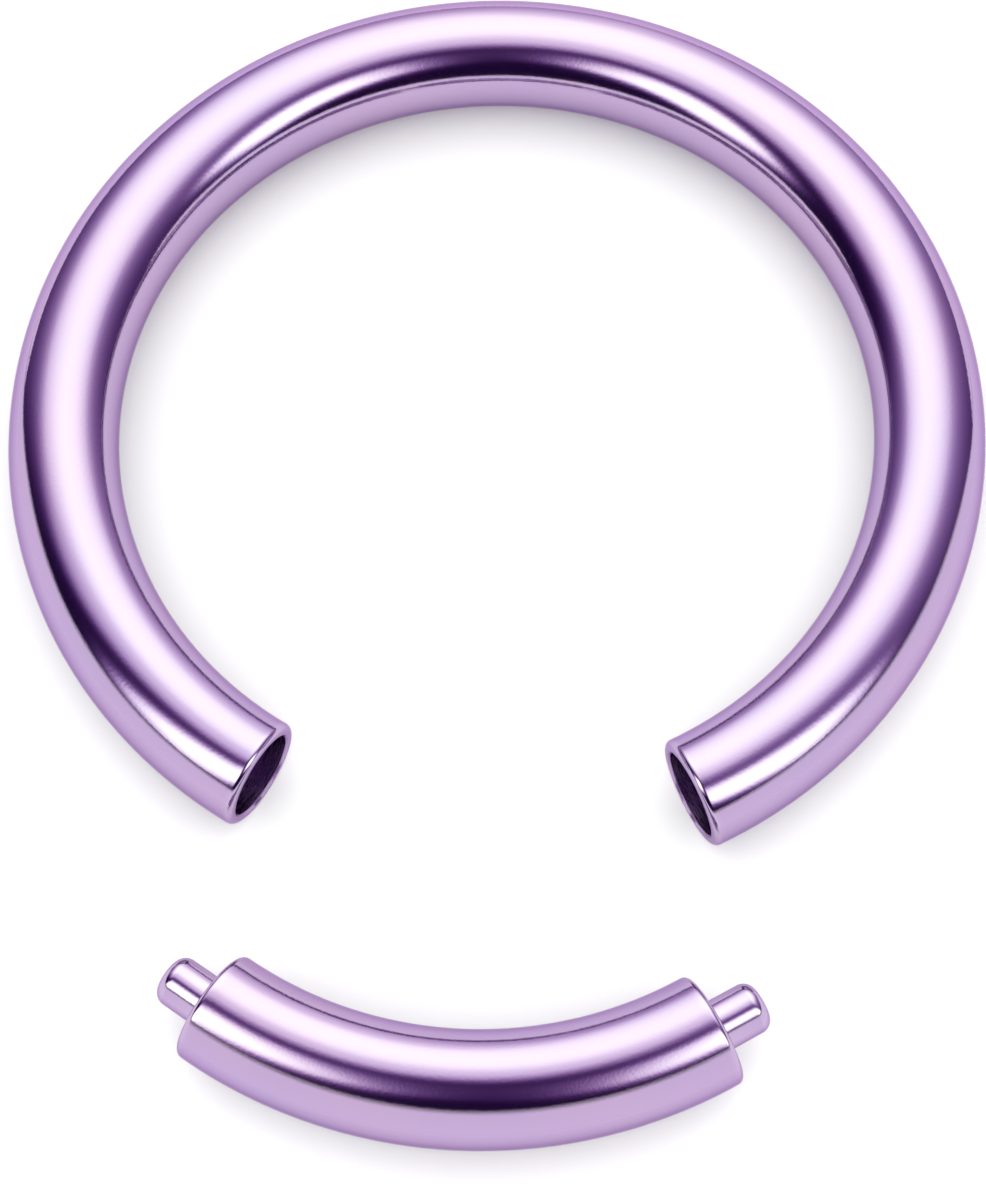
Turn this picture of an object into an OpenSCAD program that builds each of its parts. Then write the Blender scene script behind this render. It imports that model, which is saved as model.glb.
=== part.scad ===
// Segment ring for a piercing: an open hoop of round wire with a drilled socket in each end,
// and the loose segment whose two pins sit in those sockets and close the hoop.
// The hoop is made as it springs when it isn't worn, with a gap narrower than the segment that holds it open.
// Both pieces lie on the plane Z = 0. The hoop's axis is +Z through the origin, and its gap faces -Y.

/* [Wire] */
// Diameter of the round wire, 14 gauge
wire_d = 1.6; // [1.6:0.05:1.8]
// Inside diameter of the hoop
inside_d = 11; // [10:0.5:14]
// Part of the full circle that is open between the ends of the unworn hoop, in degrees
gap_span = 56; // [50:1:60]
// Width of the bevel around each end of the wire
edge_bevel = 0.06; // [0.04:0.01:0.08]

/* [Segment] */
// Part of the full circle that the segment fills, in degrees
segment_span = 65; // [60:1:70]
// How far in front of its seat the loose segment lies
segment_apart = 3.5; // [3:0.1:6]

/* [Pins] */
// Diameter of the pin on each end of the segment
pin_d = 0.72; // [0.6:0.02:0.9]
// How far each pin stands out of the segment
pin_l = 0.72; // [0.5:0.02:0.8]
// Radius of the rounded edge on the tip of a pin
pin_round = 0.12; // [0.06:0.02:0.2]

/* [Sockets] */
// Diameter of the hole drilled into each end of the hoop
socket_d = 1.26; // [1.1:0.02:1.28]
// Depth of the straight wall of that hole
socket_depth = 0.9; // [0.85:0.05:1]
// Width of the bevel around the mouth of the hole
mouth_bevel = 0.03; // [0.02:0.005:0.03]
// Angle of the drill's point, which the bottom of the hole keeps
drill_point = 118; // [90:2:140]

/* [Hidden] */
$fn = 96;
lilac = [0.8, 0.69, 0.88];
wire_r = wire_d / 2;
hoop_r = inside_d / 2 + wire_r;
gap_half = gap_span / 2;
segment_half = segment_span / 2;
socket_r = socket_d / 2;
point_h = socket_r / tan(drill_point / 2);
pin_r = pin_d / 2;
pin_straight = pin_l - pin_round;
over = 0.2;

// Places its children on the wire's centre line, angle degrees round from the middle of the gap,
// with +Z along the wire, away from that middle.
module along_wire(angle) {
    rotate([0, 0, angle - 90])
        translate([hoop_r, 0, wire_r])
            rotate([-90, 0, 0])
                children();
}

// Round wire bent to the hoop's circle, from one angle to another, measured as in along_wire.
module bent_wire(from, to) {
    translate([0, 0, wire_r])
        rotate([0, 0, from - 90])
            rotate_extrude(angle = to - from)
                translate([hoop_r, 0])
                    circle(r = wire_r);
}

// The sharp rim of a cut end, as a ring to take off wire that lies along +Z from its face at Z = 0. The ring's inside
// is a cone at 45 degrees.
module rim_cut() {
    rotate_extrude()
        polygon([
            [wire_r - edge_bevel - over, -over],
            [wire_r + over, edge_bevel + over],
            [wire_r + over, -over],
        ]);
}

// The drilled hole, with its mouth at Z = 0 and its depth along +Z. The mouth's bevel lies at 45 degrees.
module socket() {
    rotate_extrude()
        polygon([
            [0, -over],
            [socket_r + mouth_bevel + over, -over],
            [socket_r, mouth_bevel],
            [socket_r, socket_depth],
            [0, socket_depth + point_h],
        ]);
}

// A pin with its root at Z = 0 and its tip, with a rounded edge, along +Z. Its foot is sunk into the wire.
module pin() {
    rotate_extrude()
        union() {
            translate([0, -over])
                square([pin_r, over + pin_straight]);
            translate([0, pin_straight])
                square([pin_r - pin_round, pin_round]);
            translate([pin_r - pin_round, pin_straight])
                intersection() {
                    circle(r = pin_round);
                    square(pin_round);
                }
        }
}

// The hoop: bent wire with both ends cut flat, bevelled and drilled.
module ring_body() {
    color(lilac)
        difference() {
            bent_wire(gap_half, 360 - gap_half);
            for (side = [0, 1])
                mirror([side, 0, 0])
                    along_wire(gap_half) {
                        rim_cut();
                        socket();
                    }
        }
}

// The loose segment: more of the same wire, with a pin on each end.
module segment() {
    color(lilac)
        translate([0, -segment_apart, 0]) {
            difference() {
                bent_wire(-segment_half, segment_half);
                for (side = [0, 1])
                    mirror([side, 0, 0])
                        along_wire(segment_half)
                            mirror([0, 0, 1])
                                rim_cut();
            }
            for (side = [0, 1])
                mirror([side, 0, 0])
                    along_wire(segment_half)
                        pin();
        }
}

ring_body();
segment();
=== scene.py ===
import bpy
import numpy as np
from mathutils import Matrix, Vector


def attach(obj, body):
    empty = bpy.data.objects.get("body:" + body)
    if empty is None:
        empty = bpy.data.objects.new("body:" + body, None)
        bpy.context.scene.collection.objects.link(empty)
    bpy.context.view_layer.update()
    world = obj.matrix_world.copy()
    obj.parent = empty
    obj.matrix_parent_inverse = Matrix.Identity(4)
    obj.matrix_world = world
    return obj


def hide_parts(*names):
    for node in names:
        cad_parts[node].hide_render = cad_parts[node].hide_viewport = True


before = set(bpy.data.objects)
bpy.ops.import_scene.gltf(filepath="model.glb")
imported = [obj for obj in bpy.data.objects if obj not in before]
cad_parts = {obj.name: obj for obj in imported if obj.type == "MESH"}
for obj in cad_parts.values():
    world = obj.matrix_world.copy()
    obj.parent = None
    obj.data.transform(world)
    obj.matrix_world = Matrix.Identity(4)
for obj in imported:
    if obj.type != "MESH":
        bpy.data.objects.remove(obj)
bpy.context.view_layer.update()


# The view. The ring lies flat and is seen from high above its gap, close enough that the near side of the
# wire looks thicker than the far side. The camera aims at a point just in front of the hoop's centre.
VIEW_AT = Vector((0.0000744, -0.0024672, 0.0))
VIEW_DISTANCE = 0.040364
VIEW_RISE, VIEW_TURN, VIEW_ROLL = np.radians([68.0, 5.503, -2.739])
VIEW_LENS = 83.435
VIEW_NEAR, VIEW_FAR = 0.001, 10
view_slope = np.cos(VIEW_RISE)
view_back = Vector((np.sin(VIEW_TURN) * view_slope, -np.cos(VIEW_TURN) * view_slope, np.sin(VIEW_RISE)))
level_right = (-view_back).cross(Vector((0, 0, 1))).normalized()
level_up = level_right.cross(-view_back)
view_right = np.cos(VIEW_ROLL) * level_right + np.sin(VIEW_ROLL) * level_up
view_up = np.cos(VIEW_ROLL) * level_up - np.sin(VIEW_ROLL) * level_right
view_facing = Matrix((view_right, view_up, view_back)).transposed().to_4x4()
camera = bpy.data.objects.new("camera", bpy.data.cameras.new("camera"))
camera.data.lens = VIEW_LENS
camera.data.clip_start, camera.data.clip_end = VIEW_NEAR, VIEW_FAR
camera.matrix_world = Matrix.Translation(VIEW_AT + VIEW_DISTANCE * view_back) @ view_facing
bpy.context.scene.collection.objects.link(camera)
bpy.context.scene.camera = camera
bpy.context.scene.view_settings.view_transform = "Standard"


# The hoop. One length of round titanium wire is bent to an open circle, narrower across the gap than the
# segment that closes it. Its two ends are cut flat, eased and drilled, and then it is polished on a wheel
# and anodised lilac. These sizes are in millimetres, and MM turns them to metres.
MM = 0.001
WIRE_R, HOOP_R = 0.8, 6.3
EDGE_ROUND = 0.09
EDGE_ANGLE = EDGE_ROUND / HOOP_R
GAP_HALF = np.radians(28)
SOCKET_R, SOCKET_DEPTH, MOUTH_BEVEL = 0.63, 0.9, 0.03
DRILL_POINT = np.radians(118)

# How finely the skin of the wire is laid out: the points round it and the steps of a rounded edge, then the
# way from ring to ring along the bend, and how close the rows beside a corner stand to it. A place is in the
# hole when it is deeper than HOLE_DEPTH, and a profile bends where it turns by more than SHARP_TURN.
AROUND, EDGE_STEPS = 96, 12
RING_STEP, CORNER_STEP, HOLE_DEPTH = 0.1, 0.004, 0.001
SHARP_TURN = np.radians(5)

# The anodised film: its usual lilac, the bluer lilac that it drifts to, the paler one near a turned edge, a
# darker one in the drilled hole as painted shade, and the tint of what it mirrors at a glancing angle.
LILAC = (0.430, 0.308, 0.488)
LILAC_BLUER = (0.408, 0.302, 0.498)
LILAC_PALER = (0.500, 0.400, 0.555)
HOLE_SHADE_LILAC = (0.350, 0.220, 0.440)
GRAZING_LILAC = (0.62, 0.50, 0.70)

# The finish, as noises over the straightened wire: stretch along and across it, scale, and detail. Then come
# the roughness of the polished and of the drilled metal, and each relief's strength and height in metres.
COLOUR_DRIFT = ((0.35, 0.6, 0.6), 1.0, 3.0)
WHEEL_LINES = ((0.12, 9.0, 9.0), 4.0, 4.0)
DRILL_RINGS = ((30.0, 1.5, 1.5), 2.0, 2.0)
FINE_GRAIN = ((1.0, 1.0, 1.0), 22.0, 2.0)
POLISHED_ROUGHNESS, DRILLED_ROUGHNESS = (0.065, 0.115), (0.20, 0.34)
GRAIN_RELIEF, MARKS_RELIEF = (0.14, 0.000004), (0.08, 0.000002)

# The part of each noise's range that is spread over a colour or a roughness, and the same for the nearness
# to an edge, with how far from an edge the film turns paler and how far, at most, it turns to the paler
# lilac.
DRIFT_SPAN, WHEEL_SPAN, DRILL_SPAN = (0.35, 0.65), (0.3, 0.75), (0.3, 0.7)
EDGE_PALE_SPAN, EDGE_PALE_REACH, EDGE_PALE_MOST = (0.2, 1.0), 0.02, 0.45


def with_corner_steps(corners):
    """A turned profile, in rows of way out and radius, with two more rows between each corner and the next,
    so that its flats stay flat under smooth shading. They lie on the straight line between the two: the
    first corner plus the step to the next times a share, which is CORNER_STEP over the step's length, and
    then one less that."""
    here, step = corners[:-1], corners[1:] - corners[:-1]
    share = CORNER_STEP / np.linalg.norm(step, axis=1)
    shares = np.stack([0 * share, share, 1 - share], 1)[..., None]
    return np.vstack([(here[:, None] + step[:, None] * shares).reshape(-1, 2), corners[-1:]])


def rounded_edge(out, radius, edge):
    """A quarter circle from a flat face to a side wall. Its way out is that of the face, less the edge's
    radius, plus that radius times the cosine of a turn, and its radius is that of the wall, less the edge's
    radius, plus that radius times the sine, for a turn from none to a right angle."""
    turn = np.linspace(0, np.pi / 2, EDGE_STEPS + 1)
    return np.stack([out - edge + edge * np.cos(turn), radius - edge + edge * np.sin(turn)], 1)


def edge_nearness(profile):
    """How near each row of a turned profile is to a place where it bends: e to the power of minus the way
    there over EDGE_PALE_REACH. The way is measured along the profile, to the nearest row where its direction
    changes by more than SHARP_TURN."""
    step = np.diff(profile, axis=0)
    length = np.concatenate([[0], np.cumsum(np.linalg.norm(step, axis=1))])
    heading = np.unwrap(np.arctan2(step[:, 1], step[:, 0]))
    bends = length[1:-1][np.abs(np.diff(heading)) > SHARP_TURN]
    return np.exp(-np.abs(length[:, None] - bends).min(1) / EDGE_PALE_REACH)


def keep_on_mesh(mesh, name, values):
    """Keeps a number, or a row of three, for each point of a mesh, under a name that a material can read."""
    kind, field = ("FLOAT", "value") if values.ndim == 1 else ("FLOAT_VECTOR", "vector")
    mesh.attributes.new(name, kind, "POINT").data.foreach_set(field, values.astype(np.float32).ravel())


def kept_value(nodes, name, output):
    """What a material reads of the values that a mesh keeps under a name."""
    kept = nodes.new("ShaderNodeAttribute")
    kept.attribute_name = name
    return kept.outputs[output]


def shown(mesh):
    """An object that shows a mesh where the mesh lies, unturned at the origin."""
    holder = bpy.data.objects.new(mesh.name, mesh)
    bpy.context.scene.collection.objects.link(holder)
    return holder


def wire_piece(name, first_angle, last_angle, end_profile, apart):
    """The closed skin of a bent wire with the same turned profile on both ends. Each of its rings is a circle
    about the wire's centre line: the centre, plus the radius times the cosine of a turn towards the outside
    of the hoop, plus the radius times the sine of it upwards. The centre is the hoop's radius times the way
    to the outside at that angle from the middle of the gap, plus, past an end, the way out along a straight
    wire. Each point also keeps its place on the wire as if all of that were straight, how near it is to a
    turned edge, and whether it lies in the drilled hole, below the flat face and no wider than the drill."""
    rings = int((last_angle - first_angle) * HOOP_R / RING_STEP)
    bend = np.linspace(first_angle, last_angle, rings)[1:-1]
    out, end_radius = end_profile.T
    angle = np.concatenate([first_angle + 0 * out, bend, last_angle + 0 * out])
    along = np.concatenate([-out, 0 * bend, out[::-1]])

    def end_to_end(at_ends, between):
        return np.concatenate([at_ends, between + 0 * bend, at_ends[::-1]])

    radius = end_to_end(end_radius, WIRE_R)
    below_face = end_to_end(out, EDGE_ROUND) < EDGE_ROUND - HOLE_DEPTH
    drilled = np.repeat((below_face & (radius < SOCKET_R + MOUTH_BEVEL / 2))[:, None], AROUND, 1)
    turned = np.repeat(end_to_end(edge_nearness(end_profile), 0)[:, None], AROUND, 1)

    outside = np.stack([np.sin(angle), -np.cos(angle), 0 * angle], 1)
    ahead = np.stack([np.cos(angle), np.sin(angle), 0 * angle], 1)
    centre = HOOP_R * outside + along[:, None] * ahead + np.array([0, -apart, WIRE_R])
    turn = np.linspace(0, 2 * np.pi, AROUND, endpoint=False)
    cos_t, sin_t = np.cos(turn), np.sin(turn)
    spoke = cos_t[None, :, None] * outside[:, None] + sin_t[None, :, None] * np.array([0, 0, 1.0])
    points = centre[:, None] + radius[:, None, None] * spoke
    station = (HOOP_R * angle + along)[:, None]
    straight = np.broadcast_arrays(station, radius[:, None] * cos_t, radius[:, None] * sin_t)

    def with_poles(field):
        """The rings as one list of points. The first and last, which have no width, are one point each."""
        between = field[1:-1].reshape((-1,) + field.shape[2:])
        return np.concatenate([field[0, :1], between, field[-1, :1]])

    last_pole = 1 + (len(points) - 2) * AROUND
    grid = np.arange(1, last_pole).reshape(-1, AROUND)
    beside = np.roll(grid, -1, 1)
    quads = np.stack([grid[:-1], grid[1:], beside[1:], beside[:-1]], -1).reshape(-1, 4)
    first_fan = np.stack([np.zeros(AROUND, int), grid[0], beside[0]], 1)
    last_fan = np.stack([np.full(AROUND, last_pole), beside[-1], grid[-1]], 1)
    faces = quads.tolist() + first_fan.tolist() + last_fan.tolist()
    mesh = bpy.data.meshes.new(name)
    mesh.from_pydata((with_poles(points) * MM).tolist(), [], faces)
    mesh.polygons.foreach_set("use_smooth", np.ones(len(mesh.polygons), bool))
    keep_on_mesh(mesh, "along_wire", with_poles(np.stack(straight, -1)))
    keep_on_mesh(mesh, "turned_edge", with_poles(turned))
    keep_on_mesh(mesh, "drilled", with_poles(drilled))
    mesh.update()
    return shown(mesh)


def polished_titanium(name):
    """Anodised titanium from a polishing wheel. The lilac drifts a little in patches a few millimetres long,
    faint lines left by the wheel run along the wire, and the film is paler near a turned edge. In the
    drilled holes, which no wheel reaches, the metal is duller and keeps the drill's rings, and its lilac is
    darker there, which is painted shade in the recess."""
    material = bpy.data.materials.new(name)
    material.use_nodes = True
    nodes, link = material.node_tree.nodes, material.node_tree.links.new
    shader = nodes["Principled BSDF"]
    shader.inputs["Metallic"].default_value = 1.0
    shader.inputs["Specular Tint"].default_value = (*GRAZING_LILAC, 1)
    place = kept_value(nodes, "along_wire", "Vector")
    edge = kept_value(nodes, "turned_edge", "Fac")
    hole = kept_value(nodes, "drilled", "Fac")

    def noise(stretch, scale, detail):
        stretched = nodes.new("ShaderNodeVectorMath")
        stretched.operation = "MULTIPLY"
        stretched.inputs[1].default_value = stretch
        link(place, stretched.inputs[0])
        texture = nodes.new("ShaderNodeTexNoise")
        texture.inputs["Scale"].default_value = scale
        texture.inputs["Detail"].default_value = detail
        link(stretched.outputs["Vector"], texture.inputs["Vector"])
        return texture.outputs["Fac"]

    def mapped(value, span, result):
        ramp = nodes.new("ShaderNodeMapRange")
        for socket, number in zip(("From Min", "From Max", "To Min", "To Max"), span + result):
            ramp.inputs[socket].default_value = number
        link(value, ramp.inputs["Value"])
        return ramp.outputs["Result"]

    def mixed_colour(share, first, second):
        mix = nodes.new("ShaderNodeMix")
        mix.data_type = "RGBA"
        link(share, mix.inputs["Factor"])
        for letter, colour in (("A", first), ("B", second)):
            socket = next(s for s in mix.inputs if s.name == letter and s.type == "RGBA")
            if isinstance(colour, tuple):
                socket.default_value = (*colour, 1)
            else:
                link(colour, socket)
        return next(s for s in mix.outputs if s.type == "RGBA")

    def mixed_number(share, first, second):
        mix = nodes.new("ShaderNodeMix")
        link(share, mix.inputs["Factor"])
        link(first, mix.inputs["A"])
        link(second, mix.inputs["B"])
        return mix.outputs["Result"]

    def relief(height, strength, most, under=None):
        bump = nodes.new("ShaderNodeBump")
        bump.inputs["Strength"].default_value = strength
        bump.inputs["Distance"].default_value = most
        link(height, bump.inputs["Height"])
        if under is not None:
            link(under, bump.inputs["Normal"])
        return bump.outputs["Normal"]

    drift = mapped(noise(*COLOUR_DRIFT), DRIFT_SPAN, (0.0, 1.0))
    # The film turns paler towards a turned edge.
    edge_paling = mapped(edge, EDGE_PALE_SPAN, (0.0, EDGE_PALE_MOST))
    polished = mixed_colour(edge_paling, mixed_colour(drift, LILAC, LILAC_BLUER), LILAC_PALER)
    # A darker lilac in the drilled hole is painted shade in the recess; its duller finish below is real.
    link(mixed_colour(hole, polished, HOLE_SHADE_LILAC), shader.inputs["Base Color"])

    wheel_lines, drill_rings = noise(*WHEEL_LINES), noise(*DRILL_RINGS)
    wheel_finish = mapped(wheel_lines, WHEEL_SPAN, POLISHED_ROUGHNESS)
    drill_finish = mapped(drill_rings, DRILL_SPAN, DRILLED_ROUGHNESS)
    link(mixed_number(hole, wheel_finish, drill_finish), shader.inputs["Roughness"])
    grain = relief(noise(*FINE_GRAIN), *GRAIN_RELIEF)
    marks = mixed_number(hole, wheel_lines, drill_rings)
    link(relief(marks, *MARKS_RELIEF, grain), shader.inputs["Normal"])
    return material


drilled_end = with_corner_steps(np.array([
    [-SOCKET_DEPTH - SOCKET_R / np.tan(DRILL_POINT / 2), 0.0],
    [-SOCKET_DEPTH, SOCKET_R],
    [-MOUTH_BEVEL, SOCKET_R],
    [0.0, SOCKET_R + MOUTH_BEVEL],
    [0.0, WIRE_R - EDGE_ROUND],
]))
drilled_end[:, 0] += EDGE_ROUND
drilled_end = np.vstack([drilled_end[:-1], rounded_edge(EDGE_ROUND, WIRE_R, EDGE_ROUND)])
first_end = GAP_HALF + EDGE_ANGLE
hoop = wire_piece("polished_hoop", first_end, 2 * np.pi - first_end, drilled_end, 0.0)
hoop.data.materials.append(polished_titanium("lilac_titanium_hoop"))
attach(hoop, "hoop")
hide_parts("ring_body")


# The loose segment. The piece that closes the ring is cut from the same bent wire, with a short pin on each
# of its ends, and it is polished and anodised with the hoop. It lies in front of the gap that it was taken
# from. These sizes are in millimetres too.
SEGMENT_HALF = np.radians(32.5)
SEGMENT_APART = 3.5
PIN_R, PIN_L, PIN_ROUND = 0.36, 0.72, 0.18
pin_tip = EDGE_ROUND + PIN_L
pin_side = with_corner_steps(np.array([
    [pin_tip - PIN_ROUND, PIN_R],
    [EDGE_ROUND, PIN_R],
    [EDGE_ROUND, WIRE_R - EDGE_ROUND],
]))
pin_end = np.vstack([
    [[pin_tip, 0.0]],
    rounded_edge(pin_tip, PIN_R, PIN_ROUND)[:-1],
    pin_side[:-1],
    rounded_edge(EDGE_ROUND, WIRE_R, EDGE_ROUND),
])
last_end = SEGMENT_HALF - EDGE_ANGLE
segment = wire_piece("polished_segment", -last_end, last_end, pin_end, SEGMENT_APART)
segment.data.materials.append(polished_titanium("lilac_titanium_segment"))
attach(segment, "closing_segment")
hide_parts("segment")


# The floor. A wide sheet of matt white card that both pieces lie on. It lies a hair under them, so that the
# card and the wire never share a point.
CARD_HALF, CARD_DROP = 1.0, 0.000002
CARD_WHITE, CARD_ROUGHNESS, CARD_SHEEN = (0.95, 0.95, 0.95), 0.9, 0.1
card_corners = [(x * CARD_HALF, y * CARD_HALF, -CARD_DROP) for x, y in ((-1, -1), (1, -1), (1, 1), (-1, 1))]
card_mesh = bpy.data.meshes.new("white_card")
card_mesh.from_pydata(card_corners, [], [(0, 1, 2, 3)])
white_card = shown(card_mesh)
card = bpy.data.materials.new("white_card")
card.use_nodes = True
card_shader = card.node_tree.nodes["Principled BSDF"]
card_shader.inputs["Base Color"].default_value = (*CARD_WHITE, 1)
card_shader.inputs["Roughness"].default_value = CARD_ROUGHNESS
card_shader.inputs["Specular IOR Level"].default_value = CARD_SHEEN
white_card.data.materials.append(card)


# The light. An even white room lights the card. What the metal mirrors is a small tent of dark cloth, with a
# large soft box behind and above and one each side of the camera, and a low white collar that sinks to the
# card behind. The tent and the collar are seen in the metal alone, and light nothing by themselves.
ROOM_LIGHT = 1.5

# The tent: its radius and the middle of its foot in metres, how many steps it has round the ring and up to
# its top, how bright its cloth is, and by how much all that the metal mirrors is brightened.
TENT_R, TENT_AT = 0.051, np.array([0.0, 0.0031, -0.0070])
TENT_TURNS, TENT_RISES = 360, 180
DARK_CLOTH, EXPOSURE = 0.035, 1.45

# The soft boxes: how bright, then in degrees the middle, to the right and to the back of the tent's top,
# half the width and depth, how soft their edges are, and how far they are turned. The first two overlap and
# make the large one behind, the next two stand beside the camera, and a weak one hangs near the top.
SOFT_BOXES = (
    {"bright": 1.15, "middle": (0, 29), "half": (32, 25), "blur": (25, 19), "slant": -15},
    {"bright": 1.15, "middle": (4, 42), "half": (32, 41), "blur": (80, 21), "slant": -17},
    {"bright": 2.8, "middle": (-31, -31), "half": (17, 10), "blur": (14, 9), "slant": 8},
    {"bright": 2.8, "middle": (33, -29), "half": (17, 10), "blur": (14, 9), "slant": 6},
    {"bright": 0.5, "middle": (-16, -2), "half": (24, 6), "blur": (15, 8), "slant": -12},
)

# The powers that a light's red, green and blue are raised to. A light above full brightness fades to white
# in the metal, and a weaker one deepens to violet, as both do in the photograph.
FADE_TO_WHITE, DEEPEN_TO_VIOLET = np.array([0.75, 1.0, 0.6]), np.array([1.23, 1.6, 1.0])

# The collar: its radius and height in metres, half the angle that is open behind, how many points it has
# round it, and how steeply and how late it rises from the opening. Then, for its foot, its rim and its soft
# upper edge, come the share of its height and the glow. The foot is about as bright as the lit card.
COLLAR_R, COLLAR_TOP, COLLAR_BACK = 0.0139, 0.0040, np.radians(59)
COLLAR_POINTS, COLLAR_STEEP, COLLAR_LATE = 121, 3, 1.2
COLLAR_ROWS = ((0.0, 0.97), (0.85, 0.92), (1.15, 0.0))

# The share of the tent's light that the metal passes on to the card. Most of it is held back, so that the
# shadows, which the card has from the room's white light, stay grey.
THROWN_ON_CARD = 0.2


def soft(x):
    """A soft step from 0 to 1, halfway at x = 0: one over one plus e to the power of minus four times x. The
    power is kept within 40, so that e to it stays a plain number."""
    return 1 / (1 + np.exp(-np.clip(4 * x, -40, 40)))


def soft_box(to_right, to_back, bright, middle, half, blur, slant):
    """A lit rectangle with soft edges on the tent's flat map, turned there by its slant: its brightness
    times, for each of its two ways, a soft step of half its size less the distance from its middle, over
    its blur."""
    right, back = to_right - middle[0], to_back - middle[1]
    cos_s, sin_s = np.cos(np.radians(slant)), np.sin(np.radians(slant))
    across, up = np.abs(cos_s * right + sin_s * back), np.abs(cos_s * back - sin_s * right)
    return bright * soft((half[0] - across) / blur[0]) * soft((half[1] - up) / blur[1])


def light_tent():
    """The tent, half a sphere over the ring. A point of it is its middle plus its radius times three numbers:
    the cosine of the rise times the sine of the turn to the right, the cosine of the rise times the cosine
    of the turn to the back, and the sine of the rise upwards. Its top is one point. It glows as dark cloth
    does, plus each soft box, on a flat map whose ways to the right and to the back are the angle from the
    top times the sine and the cosine of the turn."""
    turns = np.radians(np.linspace(-180, 180, TENT_TURNS + 1)[:-1])
    turn, rise = np.meshgrid(turns, np.linspace(0, 90, TENT_RISES + 1)[:-1])
    right, back = np.sin(turn), np.cos(turn)
    level, up = np.cos(np.radians(rise)), np.sin(np.radians(rise))
    points = (TENT_AT + TENT_R * np.stack([level * right, level * back, up], -1)).reshape(-1, 3)
    glow = DARK_CLOTH + sum(soft_box((90 - rise) * right, (90 - rise) * back, **box) for box in SOFT_BOXES)
    glow = np.append(glow.ravel(), glow[-1].mean())[:, None]
    tint = EXPOSURE * np.maximum(glow, 1) ** FADE_TO_WHITE * np.minimum(glow, 1) ** DEEPEN_TO_VIOLET
    grid = np.arange(len(points)).reshape(turn.shape)
    beside = np.roll(grid, -1, 1)
    panes = np.stack([grid[:-1], beside[:-1], beside[1:], grid[1:]], -1).reshape(-1, 4).tolist()
    panes += np.stack([grid[-1], beside[-1], np.full(TENT_TURNS, len(points))], -1).tolist()
    mesh = bpy.data.meshes.new("light_tent")
    mesh.from_pydata(np.vstack([points, TENT_AT + [0, 0, TENT_R]]).tolist(), [], panes)
    keep_on_mesh(mesh, "glow", tint)
    return mesh


def white_collar():
    """The collar, an upright band round the ring: its radius times the sine of its turn to the right, and
    times the cosine of it to the back. Each row stands at its share of the band's height, which is COLLAR_TOP
    times a soft step of COLLAR_STEEP times the angle from the open back, less COLLAR_LATE."""
    around = np.linspace(COLLAR_BACK, 2 * np.pi - COLLAR_BACK, COLLAR_POINTS)
    from_back = np.minimum(around, 2 * np.pi - around) - COLLAR_BACK
    top = COLLAR_TOP * soft(COLLAR_STEEP * from_back - COLLAR_LATE)
    round_it = [COLLAR_R * np.sin(around), COLLAR_R * np.cos(around)]
    points = np.vstack([np.stack(round_it + [share * top], 1) for share, _ in COLLAR_ROWS])
    foot = np.arange(COLLAR_POINTS - 1)
    pane = np.stack([foot, foot + 1, foot + 1 + COLLAR_POINTS, foot + COLLAR_POINTS], 1)
    mesh = bpy.data.meshes.new("white_collar")
    mesh.from_pydata(points.tolist(), [], np.vstack([pane, pane + COLLAR_POINTS]).tolist())
    glow = np.repeat([row_glow for _, row_glow in COLLAR_ROWS], COLLAR_POINTS)
    keep_on_mesh(mesh, "glow", EXPOSURE * np.repeat(glow[:, None], 3, 1))
    return mesh


def lit_cloth():
    """Cloth that glows as its mesh says. Its strength is full for light that meets nothing matt on its way,
    and THROWN_ON_CARD for light that the metal throws on the card."""
    cloth = bpy.data.materials.new("lit_cloth")
    cloth.use_nodes = True
    cloth.cycles.emission_sampling = "NONE"
    nodes, link = cloth.node_tree.nodes, cloth.node_tree.links.new
    nodes.clear()
    lit = nodes.new("ShaderNodeEmission")
    link(kept_value(nodes, "glow", "Vector"), lit.inputs["Color"])
    thrown = nodes.new("ShaderNodeMapRange")
    thrown.inputs["To Min"].default_value, thrown.inputs["To Max"].default_value = 1.0, THROWN_ON_CARD
    link(nodes.new("ShaderNodeLightPath").outputs["Diffuse Depth"], thrown.inputs["Value"])
    link(thrown.outputs["Result"], lit.inputs["Strength"])
    link(lit.outputs["Emission"], nodes.new("ShaderNodeOutputMaterial").inputs["Surface"])
    return cloth


cloth = lit_cloth()
for mirrored in (shown(light_tent()), shown(white_collar())):
    mirrored.data.materials.append(cloth)
    mirrored.visible_camera = mirrored.visible_diffuse = mirrored.visible_shadow = False
room = bpy.data.worlds.new("room")
room.use_nodes = True
room.node_tree.nodes["Background"].inputs["Color"].default_value = (1, 1, 1, 1)
room.node_tree.nodes["Background"].inputs["Strength"].default_value = ROOM_LIGHT
bpy.context.scene.world = room
